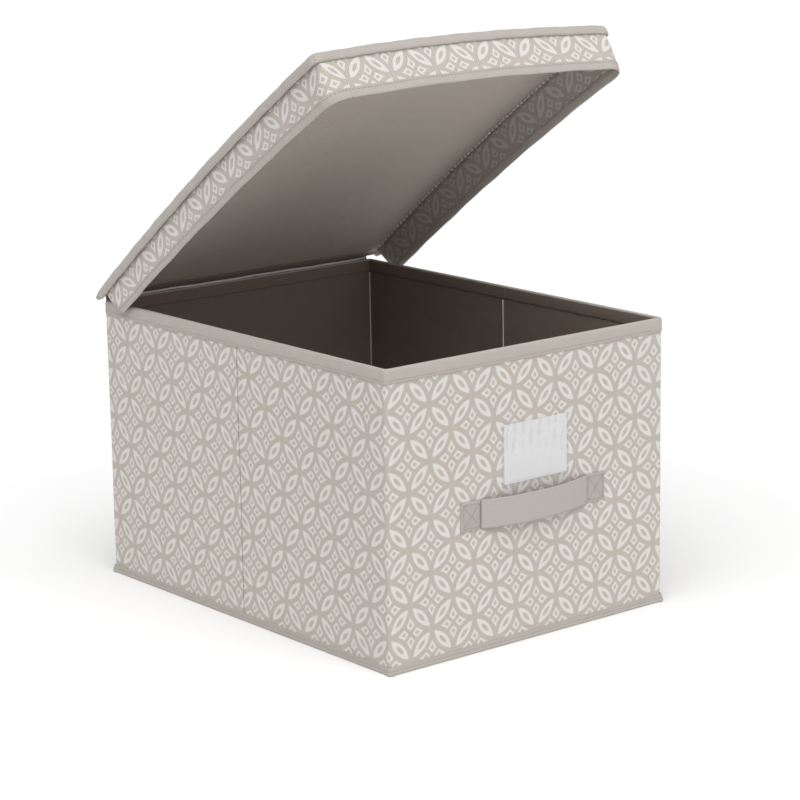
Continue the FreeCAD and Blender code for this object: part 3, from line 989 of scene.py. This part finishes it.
def hinge_strip():
    """Fabric strip from the back of the rim up onto the rear edge of the lid: the hinge."""
    low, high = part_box("lid_hinge_strip")
    wall_y = high.y + 0.2 * MM
    # y and z up the wall, then forwards and n on the lid
    wall_run = [
        (wall_y, low.z), (wall_y + 0.1 * MM, low.z + 5 * MM), (wall_y + 0.3 * MM, low.z + 10 * MM),
        (wall_y + 0.5 * MM, HINGE.z),
    ]
    lid_run = [(-0.6, 1.2), (0.4, 2.6), (2.2, 4.8), (4.6, 5.9), (7.5, 5.7), (10.5, 4.9)]
    x = places(low.x, high.x, 8 * MM)
    points = [joined(x, y + waves(x, (0.2, 0.043, 0)), z) for y, z in wall_run]
    points += [lid_place(x, HINGE.y - forwards * MM, n * MM) for forwards, n in lid_run]
    points = np.stack(points, 1)
    uvs = joined(x[:, None], run_length(points[0])[None, :])
    # its inner face takes the lining darkened with painted shade
    piece = cloth("lid_hinge_strip_cloth", points, uvs, 0.45 * MM, ["plain", "lining_painted_shade"],
                  flip=True, inner=1)
    start, end = (0, HINGE.y, HINGE.z - 1.5 * MM), (0, HINGE.y, HINGE.z + 1.5 * MM)
    settle(piece, "plain_binding", blend=("back_wall", "lid", start, end),
           replaces=["lid_hinge_strip"])


lid_panel()
lid_edge()
lid_skirt()
lid_inner_seam()
hinge_strip()


# -------------------- handle
strap_low, strap_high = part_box("handle_strap")
STRAP_Z = (strap_low.z + strap_high.z) / 2
STRAP_HALF = (strap_high.z - strap_low.z) / 2
STRAP_X = (strap_low.x + strap_high.x) / 2
STRAP_REACH = (strap_high.x - strap_low.x) / 2
WEB = 1.9 * MM


def web_loop(half, thick):
    """Section of a flat webbing with rounded edges: (out, up) points."""
    r = thick / 2
    ups = np.linspace(-half + r, half - r, 9)
    turns = np.linspace(0, math.pi, 7)[1:-1]
    loop = [(thick, up) for up in ups]
    loop += [(r + r * math.cos(turn), half - r + r * math.sin(turn)) for turn in turns]
    loop += [(0.0, up) for up in ups[::-1]]
    loop += [(r - r * math.cos(turn), -half + r - r * math.sin(turn)) for turn in turns]
    return np.array(loop)


def handle_strap():
    """The strap, bowed out between its fixed ends, furthest out at its middle."""
    bow = strap_high.y - strap_low.y - WEB + 1.2 * MM
    reach = STRAP_REACH + 1 * MM
    x = places(STRAP_X - reach, STRAP_X + reach, 2.5 * MM)[:, None]
    up = places(-STRAP_HALF, STRAP_HALF, 1 * MM)[None, :]
    share = np.clip(abs(x - STRAP_X) / STRAP_REACH, 0, 1)
    edge = STRAP_HALF - abs(up)
    rolled = 0.25 * MM * near(edge, 1.2 * MM, 0.7 * MM) - 0.35 * MM * near(edge, 2.4 * MM, 0.5 * MM)
    rolled = rolled - 0.5 * MM * near(edge, 0, 0.5 * MM)
    cup = 0.3 * MM * (up / STRAP_HALF) ** 2 * (1 - share**2)
    rest_y = -HALF_Y - 0.35 * MM - WEB
    y = rest_y - bow * (1 - share**2.4) - rolled + cup
    z = STRAP_Z + up - 0.8 * MM * (1 - share**2)
    piece = cloth("handle_strap_webbing", joined(x, y, z), joined(x, up), WEB, ["webbing"])
    start, end = (STRAP_X, rest_y, STRAP_Z), (STRAP_X, rest_y - bow, STRAP_Z)
    settle(piece, "webbing", blend=("front_and_base", "handle", start, end),
           replaces=["handle_strap"])


def box_seam(low, high):
    """Stitches round a box and along its diagonals, on an end of the handle."""
    inset = 2.5 * MM
    corners = [(low.x + inset, low.z + inset), (high.x - inset, low.z + inset),
               (high.x - inset, high.z - inset), (low.x + inset, high.z - inset)]
    lines = []
    runs = list(zip(corners, corners[1:] + corners[:1])) + [corners[0::2], corners[1::2]]
    for (x0, z0), (x1, z1) in runs:
        count = round(math.hypot(x1 - x0, z1 - z0) / (2.5 * MM))
        for share in (np.arange(count) + 0.5) / count:
            middle = (x0 + (x1 - x0) * share, -HALF_Y - 1.72 * MM, z0 + (z1 - z0) * share)
            lines.append((middle, (x1 - x0, 0, z1 - z0), (0, -1, 0)))
    return lines


def handle_ends():
    """The handle's sewn ends, and a bar of stitches where the strap leaves each."""
    loop = web_loop(STRAP_HALF, 1.5 * MM)
    box_lines, bar_lines = [], []
    for side, name in ((-1, "left"), (1, "right")):
        low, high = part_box("handle_end_" + name)
        x = places(low.x, high.x, 2 * MM)[:, None]
        slim = np.clip(np.minimum(x - low.x, high.x - x) / (0.8 * MM), 0.35, 1)
        y = -HALF_Y - 0.15 * MM - loop[None, :, 0] * slim
        up = loop[None, :, 1]
        points = joined(x, y, STRAP_Z + up)
        piece = sweep("handle_end_%s_webbing" % name, points, joined(x, up), ["patch"])
        settle(piece, "webbing", body="front_and_base", replaces=["handle_end_" + name])
        box_lines += box_seam(low, high)
        bar_x = (high.x if side < 0 else low.x) - side * 0.2 * MM
        for z in np.arange(low.z + 1 * MM, high.z, 1.5 * MM):
            bar_lines.append(((bar_x, -HALF_Y - 2.0 * MM, z), (0.15, 0, 1), (0, -1, 0)))
    seam = stitches("handle_box_stitches", box_lines, 2.0 * MM, 0.45 * MM, "thread")
    settle(seam, "thread", body="front_and_base", replaces=["handle_stitching"])
    tack = stitches("handle_bar_tacks", bar_lines, 1.7 * MM, 0.6 * MM, "thread")
    settle(tack, "thread", body="front_and_base")


# folds of the pocket: height, place across at its bottom, lean to its top, and reach, as shares
POCKET_FOLDS = (
    (1.0, 0.25, 0.04, 0.035), (0.8, 0.36, 0.05, 0.03), (0.7, 0.5, 0, 0.03), (1.1, 0.72, 0.2, 0.05),
)


def label_pocket():
    """Clear vinyl over the card: sealed flat on three sides, loose and wrinkled between."""
    low, high = pocket_low, pocket_high
    x = places(low.x, high.x, 1.2 * MM)[:, None]
    z = places(low.z, high.z, 1.6 * MM)[None, :]
    edge = np.minimum(np.minimum(x - low.x, high.x - x), z - low.z)
    loose = np.clip((edge - 1.2 * MM) / (3 * MM), 0, 1)
    across = (x - low.x) / (high.x - low.x)
    up = (z - low.z) / (high.z - low.z)
    folds = sum(tall * near(across, at + lean * up, reach) for tall, at, lean, reach in POCKET_FOLDS)
    folds = folds * np.clip((up - 0.35) / 0.25, 0, 1)
    depth = 0.45 * MM + loose * (0.55 * MM + 0.5 * MM * folds + 0.15 * MM * ripple(x * 2, z * 2, 5))
    points = joined(x, -HALF_Y - depth, z)
    piece = cloth("label_pocket_film", points, joined(x, z), 0.2 * MM, ["film"])
    settle(piece, "clear_vinyl", body="front_and_base", replaces=["label_pocket"])


handle_strap()
handle_ends()
label_pocket()

# -------------------- CAD nodes that stay
for node, piece in frame["nodes"].items():
    piece.data.materials.clear()
    piece.data.materials.append(MATERIALS["card" if node == "label_card" else "board"])


# -------------------- floor, light and camera
def ground():
    """A wide pale floor."""
    mesh = bpy.data.meshes.new("studio_floor")
    reach = 30.0
    corners = [(-reach, -reach, 0), (reach, -reach, 0), (reach, reach, 0), (-reach, reach, 0)]
    mesh.from_pydata(corners, [], [(0, 1, 2, 3)])
    mesh.materials.append(studio_paper("studio_paper"))
    floor = bpy.data.objects.new("studio_floor", mesh)
    bpy.context.scene.collection.objects.link(floor)


def soft_sun(name, towards, spread, strength):
    """Even light from a broad part of the sky, spread degrees across."""
    light = bpy.data.lights.new(name, "SUN")
    light.angle = math.radians(spread)
    light.energy = strength
    lamp = bpy.data.objects.new(name, light)
    lamp.location = Vector(towards) * 2
    lamp.rotation_mode = "QUATERNION"
    lamp.rotation_quaternion = Vector(towards).to_track_quat("Z", "Y")
    bpy.context.scene.collection.objects.link(lamp)


def studio():
    """A white surround for the camera, a dimmer one for the light, and broad high lights."""
    world = bpy.data.worlds.new("studio_world")
    world.use_nodes = True
    nodes, links = world.node_tree.nodes, world.node_tree.links
    backdrop = nodes["Background"]
    backdrop.inputs["Color"].default_value = (1, 1, 1, 1)
    seen = nodes.new("ShaderNodeLightPath")
    strength = nodes.new("ShaderNodeMapRange")
    strength.inputs["To Min"].default_value = 0.42
    strength.inputs["To Max"].default_value = 1.1
    links.new(seen.outputs["Is Camera Ray"], strength.inputs["Value"])
    links.new(strength.outputs["Result"], backdrop.inputs["Strength"])
    bpy.context.scene.world = world
    soft_sun("key_sun", (-0.52, -0.68, 1.60), 70, 2.4)
    soft_sun("fill_sun", (0.10, -1.00, 0.20), 40, 0.34)


CAMERA_PLACE = Vector((-1.4752, -1.8479, 0.7185))
AZIMUTH, ELEVATION, ROLL = (math.radians(x) for x in (-39.063, 13.029, -0.924))
LENS = 123.36


def camera():
    """The camera at the photograph's place and angle."""
    lens = bpy.data.cameras.new("camera")
    lens.lens = LENS
    eye = bpy.data.objects.new("camera", lens)
    back = Vector((math.sin(AZIMUTH) * math.cos(ELEVATION), -math.cos(AZIMUTH) * math.cos(ELEVATION),
                   math.sin(ELEVATION)))
    side = (-back).cross(Vector((0, 0, 1))).normalized()
    up = side.cross(-back)
    across = side * math.cos(ROLL) + up * math.sin(ROLL)
    above = up * math.cos(ROLL) - side * math.sin(ROLL)
    turn = Matrix((across, above, back)).transposed()
    eye.matrix_world = Matrix.Translation(CAMERA_PLACE) @ turn.to_4x4()
    bpy.context.scene.collection.objects.link(eye)
    bpy.context.scene.camera = eye


ground()
studio()
camera()
bpy.context.scene.view_settings.view_transform = "Standard"
